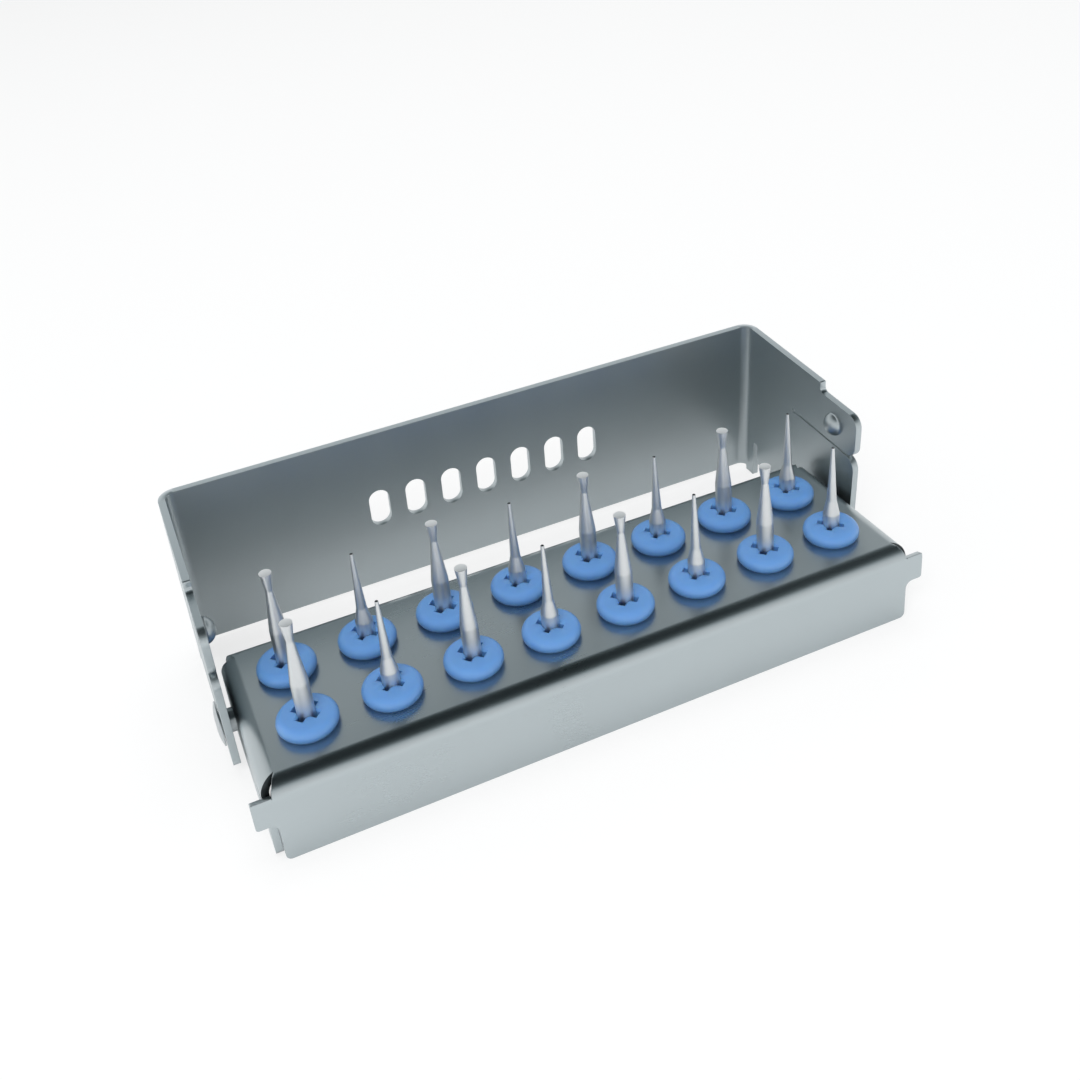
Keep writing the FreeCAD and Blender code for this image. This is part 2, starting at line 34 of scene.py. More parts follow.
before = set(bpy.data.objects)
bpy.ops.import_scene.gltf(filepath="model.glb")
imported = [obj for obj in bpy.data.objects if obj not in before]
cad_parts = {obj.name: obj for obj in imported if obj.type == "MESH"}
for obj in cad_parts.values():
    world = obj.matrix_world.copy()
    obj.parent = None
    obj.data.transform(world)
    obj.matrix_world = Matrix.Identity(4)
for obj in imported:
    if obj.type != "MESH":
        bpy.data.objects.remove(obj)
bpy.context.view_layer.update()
scene = bpy.context.scene
print("frame loaded:", len(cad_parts), "nodes")

mm = 0.001
quarterTurn = math.pi / 2
# every place that holds a grommet and its bur
stations = [(row, column) for row in ("front", "back") for column in range(1, 9)]


def middleOf(node):
    # The middle of a solid's box, in millimetres.
    low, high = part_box(node)
    return (low + high) / 2 / mm


def kindAt(column):
    # Which bur stands in this place of a row.
    return "flared" if column % 2 else "needle"


hinge = middleOf("left_rivet")
hinge.x = 0
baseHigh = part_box("base")[1]
baseBack = baseHigh.y / mm
plateTop = baseHigh.z / mm


# Mesh helpers

meshWork = {
    "cornerSegments": 6,
    "edgeSegments": 2,
    "holeSegments": 48,
    "sameSpot": 1e-4,  # points this close, in millimetres, are one
    "onCut": 1e-5,  # a point this close to a cut lies on it
    "flatTurn": 0.01,  # faces that turn less than this, in radians, are joined
    "rimTurn": 1.0,  # an edge that turns more than this is a rim
    "slotRounding": 0.999,  # of half its width, so that a slot's roundings don't meet
}


def drawOutline(bm, corners):
    # One flat face from (x, y, rounding) corners; each size of rounding is beveled on its own.
    verts = [bm.verts.new((x, y, 0)) for x, y, rounding in corners]
    bm.faces.new(verts)
    for size in sorted({rounding for x, y, rounding in corners if rounding}):
        chosen = [vert for vert, corner in zip(verts, corners) if corner[2] == size]
        bmesh.ops.bevel(
            bm, geom=chosen, offset=size, segments=meshWork["cornerSegments"],
            profile=0.5, affect="VERTICES", material=-1,
        )


def mirrorCorners(corners):
    # The right half of an outline, then its mirror image back to the start.
    return corners + [(-x, y, rounding) for x, y, rounding in reversed(corners)]


def cutSheet(bm, circles, slots=()):
    # Turns the outline and the holes drawn in it into one flat sheet with openings.
    for x, y, diameter in circles:
        bmesh.ops.create_circle(
            bm, cap_ends=False, radius=diameter / 2, segments=meshWork["holeSegments"],
            matrix=Matrix.Translation((x, y, 0)),
        )
    for x, y, width, height in slots:
        half, tall = width / 2, height / 2
        rounding = half * meshWork["slotRounding"]
        drawOutline(bm, [
            (x - half, y - tall, rounding), (x + half, y - tall, rounding),
            (x + half, y + tall, rounding), (x - half, y + tall, rounding),
        ])
    bmesh.ops.delete(bm, geom=bm.faces[:], context="FACES_ONLY")
    bmesh.ops.triangle_fill(bm, use_beauty=True, edges=bm.edges[:], normal=(0, 0, 1))
    bmesh.ops.dissolve_limit(
        bm, angle_limit=meshWork["flatTurn"], verts=bm.verts[:], edges=bm.edges[:],
    )


def thickenSheet(bm, gauge, edgeBreak):
    # The blank gets its gauge below its outer face, and the shear breaks its edges slightly.
    bmesh.ops.solidify(bm, geom=bm.faces[:], thickness=gauge)
    top = max(vert.co.z for vert in bm.verts)
    bmesh.ops.translate(bm, vec=(0, 0, -top), verts=bm.verts[:])
    rims = []
    for edge in bm.edges:
        level = abs(edge.verts[0].co.z - edge.verts[1].co.z) < meshWork["sameSpot"]
        if level and edge.calc_face_angle(0) > meshWork["rimTurn"]:
            rims.append(edge)
    bmesh.ops.bevel(
        bm, geom=rims, offset=edgeBreak, segments=meshWork["edgeSegments"],
        profile=0.5, affect="EDGES", material=-1,
    )
    bm.normal_update()


def scoreLines(bm, axis, start, arc, strips):
    # Cuts both bend zones across, so that they can be rolled.
    normal = Vector((1, 0, 0)) if axis == "x" else Vector((0, 1, 0))
    for side in (-1, 1):
        for step in range(strips + 1):
            bmesh.ops.bisect_plane(
                bm, geom=bm.verts[:] + bm.edges[:] + bm.faces[:], dist=meshWork["onCut"],
                plane_co=normal * side * (start + arc * step / strips), plane_no=normal,
            )


def rollOver(past, depth, radius):
    # Where a point this far past the start of a bend lands: (further out, further down).
    angle = min(max(past, 0) / radius, quarterTurn)
    beyond = max(past - radius * quarterTurn, 0)
    outward = (radius - depth) * math.sin(angle)
    return outward, radius - (radius - depth) * math.cos(angle) + beyond


def turnProfile(profile, steps):
    # Spins an outline of (radius, height, rounding) corners about Z.
    bm = bmesh.new()
    drawOutline(bm, profile)
    bmesh.ops.delete(bm, geom=bm.faces[:], context="FACES_ONLY")
    onAxis = [
        edge for edge in bm.edges
        if all(abs(vert.co.x) < meshWork["sameSpot"] for vert in edge.verts)
    ]
    bmesh.ops.delete(bm, geom=onAxis, context="EDGES")
    upright = Matrix.Rotation(quarterTurn, 3, "X")
    bmesh.ops.rotate(bm, cent=(0, 0, 0), matrix=upright, verts=bm.verts[:])
    bmesh.ops.spin(
        bm, geom=bm.verts[:] + bm.edges[:], cent=(0, 0, 0), axis=(0, 0, 1),
        angle=math.tau, steps=steps, use_merge=True,
    )
    bmesh.ops.remove_doubles(bm, verts=bm.verts[:], dist=meshWork["sameSpot"])
    bmesh.ops.recalc_face_normals(bm, faces=bm.faces[:])
    return bm


def addPiece(bm, name, place, materials, body, node, smoothAngle=None):
    # Brings a mesh from millimetres into the block and stands it in for its node.
    bmesh.ops.transform(bm, matrix=Matrix.Scale(mm, 4) @ place, verts=bm.verts[:])
    mesh = bpy.data.meshes.new(name)
    bm.to_mesh(mesh)
    bm.free()
    for face in mesh.polygons:
        face.use_smooth = True
    if smoothAngle:
        mesh.set_sharp_from_angle(angle=math.radians(smoothAngle))
    for material in materials:
        mesh.materials.append(material)
    piece = bpy.data.objects.new(name, mesh)
    scene.collection.objects.link(piece)
    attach(piece, body)
    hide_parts(node)
    return piece


def squareNormals(piece, keepSharp=False):
    # Broad faces keep their shading flat up to the narrow broken edges.
    normals = piece.modifiers.new("broad faces", "WEIGHTED_NORMAL")
    normals.keep_sharp = keepSharp


def addLoose(name, bm):
    # An object that stands in for no node.
    mesh = bpy.data.meshes.new(name)
    bm.to_mesh(mesh)
    bm.free()
    loose = bpy.data.objects.new(name, mesh)
    scene.collection.objects.link(loose)
    return loose


# Materials

def newMaterial(name):
    material = bpy.data.materials.new(name)
    material.use_nodes = True
    tree = material.node_tree
    return material, tree, tree.nodes["Principled BSDF"]


def addNode(tree, kind, inputs=None, **settings):
    node = tree.nodes.new(kind)
    for name, value in settings.items():
        setattr(node, name, value)
    for name, value in (inputs or {}).items():
        if isinstance(value, bpy.types.NodeSocket):
            tree.links.new(value, node.inputs[name])
        else:
            node.inputs[name].default_value = value
    return node


def addNoise(tree, place, scale, detail, roughness):
    noise = addNode(tree, "ShaderNodeTexNoise", {
        "Vector": place, "Scale": scale, "Detail": detail, "Roughness": roughness,
    })
    return noise.outputs["Fac"]


def blendColours(tree, factor, first, second):
    # A Mix node's colours are its sockets 6 and 7, and its colour comes out of socket 2.
    blend = addNode(tree, "ShaderNodeMix", {
        0: factor, 6: (*first, 1), 7: (*second, 1),
    }, data_type="RGBA")
    return blend.outputs[2]


def finishSurface(tree, shader, look, tone, height):
    # Colour and roughness follow the tone, and the height raises the skin a little.
    colour = blendColours(tree, tone, look["dark"], look["light"])
    tree.links.new(colour, shader.inputs["Base Color"])
    rough = addNode(tree, "ShaderNodeMapRange", {
        "Value": tone, "From Min": look["toneRange"][0], "From Max": look["toneRange"][1],
        "To Min": look["roughness"][0], "To Max": look["roughness"][1],
    })
    tree.links.new(rough.outputs[0], shader.inputs["Roughness"])
    bump = addNode(tree, "ShaderNodeBump", {
        "Height": height, "Strength": look["bump"], "Distance": look["bumpDistance"],
    })
    tree.links.new(bump.outputs[0], shader.inputs["Normal"])


def makeSteel(name, look):
    # Satin steel: fine grain along the sheet, cloudy wiping marks, small changes of tone.
    material, tree, shader = newMaterial(name)
    place = addNode(tree, "ShaderNodeTexCoord").outputs["Object"]
    stretched = addNode(tree, "ShaderNodeMapping", {
        "Vector": place, "Scale": look["grainStretch"],
    })
    grain = addNoise(tree, stretched.outputs[0], look["grainScale"], *look["grainNoise"])
    clouds = addNoise(tree, place, look["cloudScale"], *look["cloudNoise"])
    tone = addNode(tree, "ShaderNodeMath", {
        0: grain, 1: clouds, 2: clouds,
    }, operation="MULTIPLY_ADD")
    finishSurface(tree, shader, look, tone.outputs[0], grain)
    shader.inputs["Metallic"].default_value = 1.0
    return material


def makeSilicone(name, look):
    # Moulded silicone: matt with a faint bloom, slightly translucent at its thin edges.
    material, tree, shader = newMaterial(name)
    place = addNode(tree, "ShaderNodeTexCoord").outputs["Object"]
    bloom = addNoise(tree, place, look["bloomScale"], *look["bloomNoise"])
    skin = addNoise(tree, place, look["skinScale"], *look["skinNoise"])
    finishSurface(tree, shader, look, bloom, skin)
    shader.inputs["Specular IOR Level"].default_value = look["specular"]
    shader.inputs["Sheen Weight"].default_value = look["sheen"]
    shader.inputs["Sheen Roughness"].default_value = look["sheenRoughness"]
    shader.inputs["Subsurface Weight"].default_value = look["scatter"]
    shader.inputs["Subsurface Radius"].default_value = look["scatterRadius"]
    shader.inputs["Subsurface Scale"].default_value = look["scatterScale"]
    return material


sheetLook = {
    "dark": (0.45, 0.495, 0.512),
    "light": (0.48, 0.53, 0.548),
    "roughness": (0.25, 0.32),
    "toneRange": (0.3, 1.1),
    "grainStretch": (60, 900, 900),  # long along the block, fine across it
    "grainScale": 6.0,
    "grainNoise": (3.0, 0.6),  # detail and roughness of the noise
    "cloudScale": 45.0,
    "cloudNoise": (3.0, 0.55),
    "bump": 0.08,
    "bumpDistance": 0.00002,
}
turnedLook = {
    **sheetLook,
    "grainStretch": (900, 900, 900),
    "grainScale": 4.0,
    "cloudScale": 300.0,
    "bump": 0.06,
}
baseSteel = makeSteel("satin base steel", sheetLook)
lidSteel = makeSteel("satin lid steel", {**sheetLook, "roughness": (0.33, 0.41)})
# A lighter copy of the lid steel for its up-facing top edges: a painted highlight.
paintedHighlightEdgeSteel = makeSteel("steel with painted edge highlight", {
    **sheetLook,
    "dark": (0.58, 0.635, 0.66),
    "light": (0.63, 0.69, 0.715),
    "roughness": (0.27, 0.35),
    "cloudScale": 160.0,
})
# Near-black steel for the faces inside the base's corner slits and for the needle tips: painted
# shade standing in for the shade and dark reflections there.
paintedShadeSteel = makeSteel("painted shade steel", {
    **turnedLook,
    "dark": (0.04, 0.047, 0.05),
    "light": (0.08, 0.09, 0.095),
    "roughness": (0.38, 0.48),
})
rivetSteel = makeSteel("turned rivet steel", {
    **turnedLook,
    "dark": (0.45, 0.49, 0.51),
    "light": (0.53, 0.56, 0.57),
    "roughness": (0.26, 0.36),
    "grainScale": 6.0,
    "cloudScale": 200.0,
})
burSteel = makeSteel("satin bur steel", {
    **turnedLook,
    "dark": (0.62, 0.64, 0.65),
    "light": (0.71, 0.73, 0.74),
    "roughness": (0.37, 0.44),
    "grainStretch": (900, 900, 2600),
    "bump": 0.05,
})
# A lighter copy of the bur steel for the flat tops of the flared heads: a painted highlight on
# the up-facing end.
paintedHighlightSteel = makeSteel("bur ends with painted highlight", {
    **turnedLook,
    "dark": (0.85, 0.87, 0.88),
    "light": (0.93, 0.94, 0.95),
    "roughness": (0.34, 0.42),
    "bump": 0.08,
})
silicone = makeSilicone("blue silicone", {
    "dark": (0.102, 0.27, 0.59),
    "light": (0.123, 0.302, 0.62),
    "roughness": (0.4, 0.5),
    "toneRange": (0.0, 1.0),
    "bloomScale": 260.0,
    "bloomNoise": (4.0, 0.6),
    "skinScale": 5200.0,
    "skinNoise": (2.0, 0.5),
    "bump": 0.12,
    "bumpDistance": 0.00002,
    "specular": 0.9,
    "sheen": 0.05,
    "sheenRoughness": 0.5,
    "scatter": 0.4,
    "scatterRadius": (0.3, 0.5, 1.0),
    "scatterScale": 0.0006,
})
print("materials ready")


# Base: one blank, folded down on four sides

baseSheet = {
    "length": 92.8,
    "depth": 27.9,
    "height": 11.8,
    "gauge": 1.0,
    "foldRadius": 2.4,
    "strips": 12,
    "edgeBreak": 0.04,
    "holesPerRow": 8,
    "holePitch": 11.0,
    "holeDiameter": 6.0,
    "slitTip": (44.35, 11.42),  # (along the block, across it) from the plate's middle
    "slitFront": (45.4, 13.88),
    "slitEnd": (46.3, 12.15),
    "slitSteps": 6,
    "slitSlope": 0.7,  # of the line from the tip that parts side sheet from end sheet
    "tipBlend": 0.6,  # the end's fold fades out over this length of the side's
    "endWallHalf": 12.7,
    "endWallRise": 8.0,
    "wallMargin": 0.01,  # past the end wall's upright edge, where only the side can be
    "paintedShadeMargin": 0.1,  # a slit's painted shade ends this far short of the end wall's upright edge
    "paintedShadeFacing": 0.3,  # and it lies on faces that turn to the slit by more than this
    "earReach": 48.0,
    "earTop": 10.2,
    "earBottom": 6.1,
    "rounding": {"foot": 0.8, "earRoot": 1.1, "earLow": 0.4, "earHigh": 0.12, "earNotch": 0.15},
    "hingeHole": (6.7, 6.0, 2.4),  # (behind the middle, above the floor, diameter)
    "catchHole": (-8.75, 6.5, 3.0),
}
gridMiddle = baseBack - baseSheet["depth"] / 2


def makeBase(s):
    radius = s["foldRadius"]
    endStart = s["length"] / 2 - radius
    sideStart = s["depth"] / 2 - radius
    arc = radius * quarterTurn
    wallEdge = s["length"] / 2 - s["gauge"]
    tipAlong, tipAcross = s["slitTip"]
    rounding = s["rounding"]

    def drop(height):
        # how far past the start of a bend the sheet reaches this height above the floor
        fall = s["height"] - height
        return arc + fall - radius if fall > radius else radius * math.acos(1 - fall / radius)

    def out(reach):
        # how far past the start of a bend the sheet is this much further out
        return radius * math.asin(max(reach, 0) / radius)

    def slitEdge(end, onSide):
        # one edge of a corner's slit is straight seen from above, so it is bowed on the blank
        edge = []
        for step in range(1, s["slitSteps"] + 1):
            part = step / s["slitSteps"]
            x = tipAlong + (end[0] - tipAlong) * part
            y = tipAcross + (end[1] - tipAcross) * part
            if onSide and y > sideStart:
                y = sideStart + out(y - sideStart)
            if not onSide:
                x = endStart + out(x - endStart)
            edge.append((x, y))
        return edge

    sideEdge = slitEdge(s["slitFront"], True)
    endEdge = slitEdge(s["slitEnd"], False)
    lowSide = sideStart + drop(0)
    lowEnd = endStart + drop(0)
    lowEar = sideStart + drop(s["earBottom"])
    highEar = sideStart + drop(s["earTop"])
    highEnd = endStart + drop(s["endWallRise"])
    bm = bmesh.new()
    drawOutline(bm, mirrorCorners([
        (wallEdge, -lowSide, rounding["foot"]),
        (wallEdge, -lowEar, rounding["earRoot"]),
        (s["earReach"], -lowEar, rounding["earLow"]),
        (s["earReach"], -highEar, rounding["earHigh"]),
        (wallEdge, -highEar, rounding["earNotch"]),
        *[(x, -y, 0) for x, y in reversed(sideEdge)],
        (tipAlong, -tipAcross, 0),
        *[(x, -y, 0) for x, y in endEdge],
        (highEnd, -s["endWallHalf"], 0),
        (lowEnd, -s["endWallHalf"], rounding["foot"]),
        (lowEnd, s["endWallHalf"], rounding["foot"]),
        (highEnd, s["endWallHalf"], 0),
        *[(x, y, 0) for x, y in reversed(endEdge)],
        (tipAlong, tipAcross, 0),
        *[(x, y, 0) for x, y in sideEdge],
        (wallEdge, lowSide, rounding["foot"]),
    ]))
    circles = []
    for column in range(s["holesPerRow"]):
        along = (column - (s["holesPerRow"] - 1) / 2) * s["holePitch"]
        for row in (-0.5, 0.5):
            circles.append((along, row * s["holePitch"], s["holeDiameter"]))
    for y, height, diameter in (s["hingeHole"], s["catchHole"]):
        for side in (-1, 1):
            circles.append((side * (endStart + drop(height)), y, diameter))
    cutSheet(bm, circles)
    thickenSheet(bm, s["gauge"], s["edgeBreak"])
    # Faces inside each corner slit that face across it take the near-black steel: painted shade
    # in the slit.
    for face in bm.faces:
        spot = face.calc_center_median()
        across = tipAcross < abs(spot.y) < s["endWallHalf"] - s["paintedShadeMargin"]
        facing = face.normal.y * math.copysign(1, spot.y)
        dark = abs(spot.x) > tipAlong and across and facing > s["paintedShadeFacing"]
        face.material_index = 1 if dark else 0
    scoreLines(bm, "x", endStart, arc, s["strips"])
    scoreLines(bm, "y", sideStart, arc, s["strips"])
    for vert in bm.verts:
        x, y, depth = abs(vert.co.x), abs(vert.co.y), -vert.co.z
        outward, down = rollOver(x - endStart, depth, radius)
        sideways, sideDown = rollOver(y - sideStart, depth, radius)
        onSide = y > sideStart and x < tipAlong + (y - tipAcross) * s["slitSlope"]
        if onSide or y > s["endWallHalf"] + s["wallMargin"]:
            nearTip = max(1 - (y - sideStart) / s["tipBlend"], 0)
            y = sideStart + sideways
            down = sideDown + (down - depth) * nearTip
        elif x > endStart:
            x = endStart + outward
        vert.co = Vector((math.copysign(x, vert.co.x), math.copysign(y, vert.co.y), -down))
    bmesh.ops.recalc_face_normals(bm, faces=bm.faces[:])
    place = Matrix.Translation((0, gridMiddle, s["height"]))
    steels = (baseSteel, paintedShadeSteel)
    piece = addPiece(bm, "foldedBase", place, steels, "base", "base")
    squareNormals(piece)


makeBase(baseSheet)
print("base folded")


# Lid: one blank, folded to a U, on its hinge

lidSheet = {  # heights are above the hinge line, and the places on an arm are behind it
    "halfLength": 48.2,
    "panelBack": 25.6,
    "top": 20.65,
    "gauge": 1.0,
    "foldRadius": 2.4,
    "strips": 12,
    "edgeBreak": 0.04,
    "panelBottom": -6.4,
    "footBehind": 1.6,  # from the panel's back face forwards to a foot
    "footBottom": -7.338,
    "footFront": 21.7,
    "slotFront": 20.6,
    "slotTop": -0.638,
    "armBottom": -4.3,
    "armFront": -4.8,
    "stepBack": 4.35,
    "tongueTop": 19.05,
    "slitRise": 11.9,
    "slitHalf": 0.175,
    "slitEnd": 10.8,
    "slitHole": 0.4,  # half the width of the round hole at a slit's end
    "hingeHole": 3.4,
    "rounding": {
        "panel": 0.4, "foot": 0.12, "slot": 0.35, "heel": 0.3, "armEnd": 1.9,
        "holeMouth": 0.2, "hole": 0.38, "step": 0.8, "top": 0.25,
    },
    "dimple": (0.5, 15.45, 3.7, 1.45),  # (behind the hinge, rise, width, height)
    "dimpleRings": 12,
    "dimpleRing": 0.15,  # the width of each
    "paintedHighlightAbove": 18.95,  # above this the edges that face upwards get a painted highlight
    "paintedHighlightFacing": 0.5,  # how far a face turns upwards to count as such an edge
    "ventCount": 7,
    "ventPitch": 5.8,
    "ventSize": (3.2, 6.4),
    "ventRise": 7.4,
    "lean": 3.5,  # degrees back from upright
}


def drawLid(bm, s, along, bendStart):
    # The blank's outline, from the panel's lower edge round one arm to the panel's upper edge.
    radius, rounding = s["foldRadius"], s["rounding"]
    footEdge = bendStart + radius * math.acos(1 - s["footBehind"] / radius)
    front, hole = along(s["armFront"]), s["slitHole"]
    slitLow, slitHigh = s["slitRise"] - s["slitHalf"], s["slitRise"] + s["slitHalf"]
    holeLow, holeHigh = s["slitRise"] - hole, s["slitRise"] + hole
    holeBack, holeFront = along(s["slitEnd"]) - hole, along(s["slitEnd"]) + hole
    drawOutline(bm, mirrorCorners([
        (footEdge, s["panelBottom"], rounding["panel"]),
        (footEdge, s["footBottom"], rounding["foot"]),
        (along(s["footFront"]), s["footBottom"], rounding["foot"]),
        (along(s["footFront"]), s["slotTop"], rounding["slot"]),
        (along(s["slotFront"]), s["slotTop"], rounding["slot"]),
        (along(s["slotFront"]), s["armBottom"], rounding["heel"]),
        (front, s["armBottom"], rounding["armEnd"]),
        (front, slitLow, rounding["armEnd"]),
        (holeFront, slitLow, 0),
        (holeFront, holeLow, rounding["holeMouth"]),
        (holeBack, holeLow, rounding["hole"]),
        (holeBack, holeHigh, rounding["hole"]),
        (holeFront, holeHigh, rounding["holeMouth"]),
        (holeFront, slitHigh, 0),
        (front, slitHigh, rounding["armEnd"]),
        (front, s["tongueTop"], rounding["armEnd"]),
        (along(s["stepBack"]), s["tongueTop"], rounding["step"]),
        (along(s["stepBack"]), s["top"], rounding["top"]),
    ]))


def makeLid(s):
    bendStart = s["halfLength"] - s["foldRadius"]
    arc = s["foldRadius"] * quarterTurn
    armZero = bendStart + arc + s["panelBack"] - s["foldRadius"]

    def along(back):
        # a place on an arm, as far along the blank as it is behind the hinge
        return armZero - back

    bm = bmesh.new()
    drawLid(bm, s, along, bendStart)
    dimpleBack, dimpleRise, dimpleWidth, dimpleHeight = s["dimple"]
    ballRadius = (dimpleWidth ** 2 / 4 + dimpleHeight ** 2) / 2 / dimpleHeight
    dimpleSpots = [Vector((side * along(dimpleBack), dimpleRise, 0)) for side in (-1, 1)]
    circles = [(side * along(0), 0, s["hingeHole"]) for side in (-1, 1)]
    circles += [(spot.x, spot.y, dimpleWidth) for spot in dimpleSpots]
    vents = []
    for vent in range(s["ventCount"]):
        ventPlace = (vent - (s["ventCount"] - 1) / 2) * s["ventPitch"]
        vents.append((ventPlace, s["ventRise"], *s["ventSize"]))
    cutSheet(bm, circles, vents)
    for spot in dimpleSpots:
        # each dimple is filled again, with rings to press it by
        reach = dimpleWidth / 2 + meshWork["sameSpot"]
        rim = [
            edge for edge in bm.edges
            if all((vert.co - spot).length < reach for vert in edge.verts)
        ]
        disc = bmesh.ops.contextual_create(bm, geom=rim)["faces"]
        for step in range(s["dimpleRings"]):
            bmesh.ops.inset_region(
                bm, faces=disc, thickness=s["dimpleRing"],
                use_even_offset=True, use_boundary=True,
            )
    thickenSheet(bm, s["gauge"], s["edgeBreak"])
    # Up-facing edges along the lid's top take the lighter steel: a painted highlight.
    for face in bm.faces:
        onTop = face.calc_center_median().y > s["paintedHighlightAbove"]
        face.material_index = 1 if onTop and face.normal.y > s["paintedHighlightFacing"] else 0
    scoreLines(bm, "x", bendStart, arc, s["strips"])
    for vert in bm.verts:
        spot = Vector((vert.co.x, vert.co.y, 0))
        nearest = min((spot - dimple).length for dimple in dimpleSpots)
        cap = math.sqrt(max(ballRadius ** 2 - nearest ** 2, 0))
        pressed = max(cap - ballRadius + dimpleHeight, 0)
        outward, forward = rollOver(abs(spot.x) - bendStart, -vert.co.z, s["foldRadius"])
        across = min(abs(spot.x), bendStart) + outward - pressed
        vert.co = Vector((math.copysign(across, spot.x), s["panelBack"] - forward, spot.y))
    bmesh.ops.recalc_face_normals(bm, faces=bm.faces[:])
    place = Matrix.Translation(hinge) @ Matrix.Rotation(math.radians(s["lean"]), 4, "X")
    steels = (lidSteel, paintedHighlightEdgeSteel)
    piece = addPiece(bm, "foldedLid", place, steels, "lid", "lid")
    squareNormals(piece)


makeLid(lidSheet)
print("lid folded")


# Rivets: a low domed head outside, a shoulder through the arm, a tail inside

rivet = {
    "steps": 64,
    "smoothAngle": 30,
    "profile": [  # (radius, distance from the middle of the block, rounding)
        (0, 44.8, 0),
        (1.5, 44.8, 0.25),
        (1.9, 45.2, 0.12),
        (1.9, 45.4, 0),
        (1.19, 45.4, 0),
        (1.19, 46.4, 0),
        (1.6, 46.4, 0),
        (1.6, 48.3, 0),
        (3.0, 48.3, 0.05),
        (3.0, 48.5, 0.08),
        (1.6, 48.9, 0.8),
        (0, 48.9, 0),
    ],
}


def makeRivets(s):
    for side, turn in (("right", 1), ("left", -1)):
        bm = turnProfile(s["profile"], s["steps"])
        place = Matrix.Translation(hinge) @ Matrix.Rotation(quarterTurn * turn, 4, "Y")
        addPiece(
            bm, f"{side}Rivet", place, [rivetSteel], "base", f"{side}_rivet",
            s["smoothAngle"],
        )


makeRivets(rivet)
print("rivets set")


# Grommets: a fat ring above the plate, a barb below, four slots at the bore

grommet = {  # heights are above the plate
    "steps": 72,
    "smoothAngle": 40,
    "barb": [  # (radius, height, rounding)
        (1.185, -2.5, 0),
        (2.2, -2.5, 0.25),
        (3.5, -1.0, 0.12),
        (2.98, -1.0, 0),
        (2.98, 0, 0),
    ],
    "ringMiddle": (2.8, 0.75),
    "ringReach": 1.15,
    "ringRise": 1.1,
    "ringSteps": 16,
    "ringTop": 84.7,  # degrees round the oval where its nearly flat top starts
    "mouth": (1.185, 2.0, 0.1),
    "slotReach": 1.88,
    "slotWidth": {"flared": 1.0, "needle": 0.75},
    "slotFloor": 0.2,
    "slotAbove": 2.6,
    "slotMouth": 1.6,  # the width to which a slot opens at the top of the ring
    "slotMouthFloor": 1.75,
}


def ringOutline(s):
    # The oval section of the ring, from the plate up and over its outer side to its flat top.
    middle, lift = s["ringMiddle"]
    foot = -math.asin(lift / s["ringRise"])
    outline = []
    for step in range(s["ringSteps"] + 1):
        turn = foot + (math.radians(s["ringTop"]) - foot) * step / s["ringSteps"]
        reach = middle + s["ringReach"] * math.cos(turn)
        outline.append((reach, lift + s["ringRise"] * math.sin(turn), 0))
    return outline


def makeSlotCutter(s, kind):
    # Four slots from the middle outwards, between the block's axes, each with a wider mouth.
    bm = bmesh.new()
    side, mouth = s["slotWidth"][kind] / 2, s["slotMouth"] / 2
    floor, mouthFloor, above = s["slotFloor"], s["slotMouthFloor"], s["slotAbove"]
    brim = side + (mouth - side) * (above - mouthFloor) / (s["mouth"][1] - mouthFloor)
    outline = [
        (-side, floor), (side, floor), (side, mouthFloor),
        (brim, above), (-brim, above), (-side, mouthFloor),
    ]
    for turn in range(4):
        near = [bm.verts.new((0, y, z)) for y, z in outline]
        grown = bmesh.ops.extrude_face_region(bm, geom=[bm.faces.new(near)])["geom"]
        far = [item for item in grown if isinstance(item, bmesh.types.BMVert)]
        bmesh.ops.translate(bm, vec=(s["slotReach"], 0, 0), verts=far)
        spin = Matrix.Rotation(quarterTurn * (turn + 0.5), 3, "Z")
        bmesh.ops.rotate(bm, cent=(0, 0, 0), matrix=spin, verts=near + far)
    bmesh.ops.recalc_face_normals(bm, faces=bm.faces[:])
    return addLoose("slotCutter", bm)


def makeGrommetMesh(s, kind):
    ring = turnProfile(s["barb"] + ringOutline(s) + [s["mouth"]], s["steps"])
    body = addLoose("grommetRing", ring)
    cutter = makeSlotCutter(s, kind)
    cut = body.modifiers.new("slots", "BOOLEAN")
    cut.object = cutter
    cut.operation = "DIFFERENCE"
    cut.solver = "EXACT"
    cut.use_self = True
    bpy.context.view_layer.update()
    evaluated = body.evaluated_get(bpy.context.evaluated_depsgraph_get())
    shape = bpy.data.meshes.new_from_object(evaluated)
    for item in (body, cutter):
        bpy.data.objects.remove(item)
    return shape


def makeGrommets(s):
    shapes = {kind: makeGrommetMesh(s, kind) for kind in s["slotWidth"]}
    for row, column in stations:
        node = f"{row}_grommet_{column}"
        middle = middleOf(node)
        bm = bmesh.new()
        bm.from_mesh(shapes[kindAt(column)])
        place = Matrix.Translation((middle.x, middle.y, plateTop))
        addPiece(
            bm, f"{row}Grommet{column}", place, [silicone], "base", node,
            s["smoothAngle"],
        )


makeGrommets(grommet)
print("grommets seated")


# Burs: flared heads in the odd places, slender needles in the even ones

bur = {
    "steps": 48,
    "smoothAngle": 12,
    "latch": [  # foot of the shank, the same on both kinds: (radius, height, rounding)
        (0, 0, 0),
        (1.175, 0, 0.15),
        (1.175, 1.1, 0.05),
        (0.8, 1.1, 0),
        (0.8, 1.9, 0),
        (1.175, 1.9, 0.05),
    ],
    "flared": [
        (1.175, 13.0, 0.12),
        (0.475, 19.3, 0.12),
        (0.825, 22.0, 0.05),
        (0, 22.0, 0),
    ],
    "needle": [
        (1.175, 10.55, 0.08),
        (0.7, 12.7, 0.15),
        (0.225, 21.3, 0.1),
        (0, 21.3, 0),
    ],
    "paintedEndsAbove": {"flared": 21.98, "needle": 21.25},  # above this the ends take a painted highlight on flared heads and painted shade on needle tips
}


